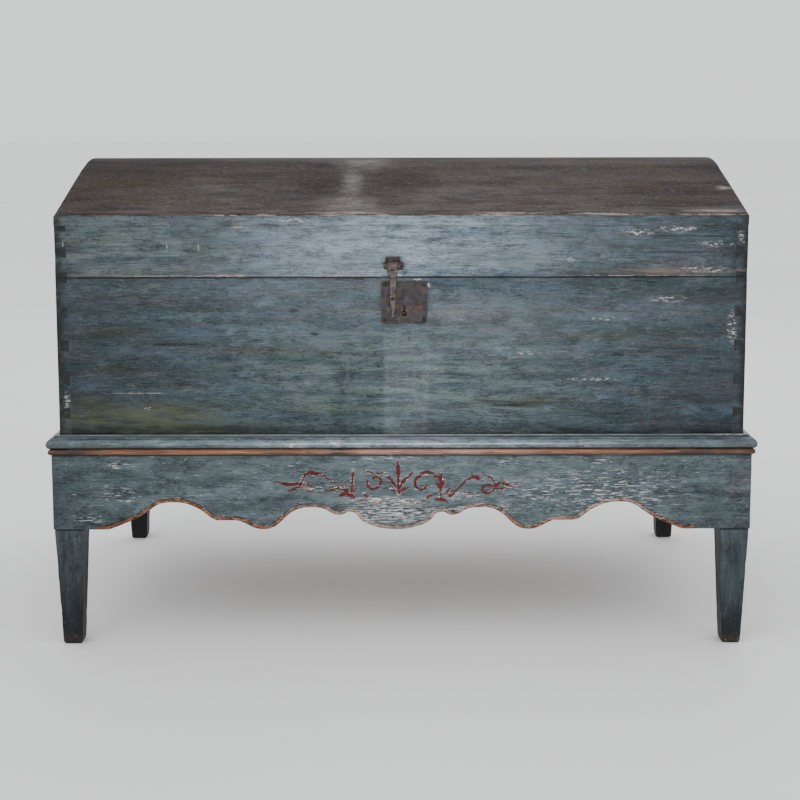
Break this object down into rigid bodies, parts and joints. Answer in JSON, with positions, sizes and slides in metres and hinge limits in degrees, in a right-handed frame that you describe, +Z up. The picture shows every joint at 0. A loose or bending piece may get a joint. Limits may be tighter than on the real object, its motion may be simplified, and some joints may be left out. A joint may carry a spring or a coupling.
{
  "type": "storage chest on stand",
  "caption": "Painted wooden storage chest with a roof-shaped hinged lid, iron hasp and lock, resting in the moulding of a stand with a scalloped apron and tapered legs.",
  "frame": {"origin": "on the floor, under the middle of the chest", "axes": "+X to the right along the front, +Y from the front to the back, +Z up; the lock faces -Y"},
  "size_m": [1.221, 0.6494, 0.843],
  "materials": {
    "blue_paint": "old slate-blue milk paint, worn along the grain",
    "brown_slope": "dark rubbed brown wood with traces of paint",
    "teal_paint": "old grey-teal paint, chipped to the ground coat",
    "copper_band": "worn copper-brown paint on a half-round strip",
    "bare_wood": "unpainted old softwood, darkened",
    "forged_iron": "hand-forged iron, brown with rust"
  },
  "bodies": {
    "stand": {"apron_front": "teal_paint", "apron_back": "teal_paint", "apron_left": "teal_paint", "apron_right": "teal_paint", "leg_front_left": "teal_paint", "leg_front_right": "teal_paint", "leg_back_left": "teal_paint", "leg_back_right": "teal_paint", "moulding_front": "teal_paint", "moulding_back": "teal_paint", "moulding_left": "teal_paint", "moulding_right": "teal_paint", "band_front": "copper_band", "band_back": "copper_band", "band_left": "copper_band", "band_right": "copper_band", "cross_bearer_left": "bare_wood", "cross_bearer_right": "bare_wood", "leg_pegs": "bare_wood"},
    "chest": {"chest_front": "blue_paint", "chest_back": "blue_paint", "chest_end_left": "blue_paint", "chest_end_right": "blue_paint", "bottom_plank_1": "bare_wood", "bottom_plank_2": "bare_wood", "bottom_plank_3": "bare_wood", "lock_plate": "forged_iron", "lock_plate_nails": "forged_iron", "lock_case": "forged_iron", "lock_key_pin": "forged_iron", "lock_spring": "forged_iron", "hinge_chest_strap_left": "forged_iron", "hinge_chest_strap_right": "forged_iron", "hinge_pin_left": "forged_iron", "hinge_pin_right": "forged_iron", "hinge_chest_nails": "forged_iron"},
    "lid": {"lid_front_rail": "blue_paint", "lid_back_rail": "blue_paint", "lid_end_left": "blue_paint", "lid_end_right": "blue_paint", "lid_slope_front": "brown_slope", "lid_slope_back": "brown_slope", "hasp_bracket": "forged_iron", "hasp_pin": "forged_iron", "hasp_bracket_nails": "forged_iron", "hinge_lid_strap_left": "forged_iron", "hinge_lid_strap_right": "forged_iron", "hinge_lid_nails": "forged_iron"},
    "hasp": {"hasp": "forged_iron", "hasp_loop": "forged_iron"},
    "lock_bolt": {"lock_bolt": "forged_iron"}
  },
  "joints": [
    {"name": "chest_lift", "type": "slide", "parent": "stand", "child": "chest", "axis": [0, 0, 1], "range_m": [0, 0.1]},
    {"name": "lid_hinge", "type": "hinge", "parent": "chest", "child": "lid", "pos_m": [0, 0.3115, 0.647], "axis": [-1, 0, 0], "range_deg": [0, 105]},
    {"name": "hasp_swing", "type": "hinge", "parent": "lid", "child": "hasp", "pos_m": [-0.0145, -0.31725, 0.668], "axis": [-1, 0, 0], "range_deg": [-8.75, 170]},
    {"name": "bolt_throw", "type": "slide", "parent": "chest", "child": "lock_bolt", "axis": [-1, 0, 0], "range_m": [0, 0.009]}
  ]
}
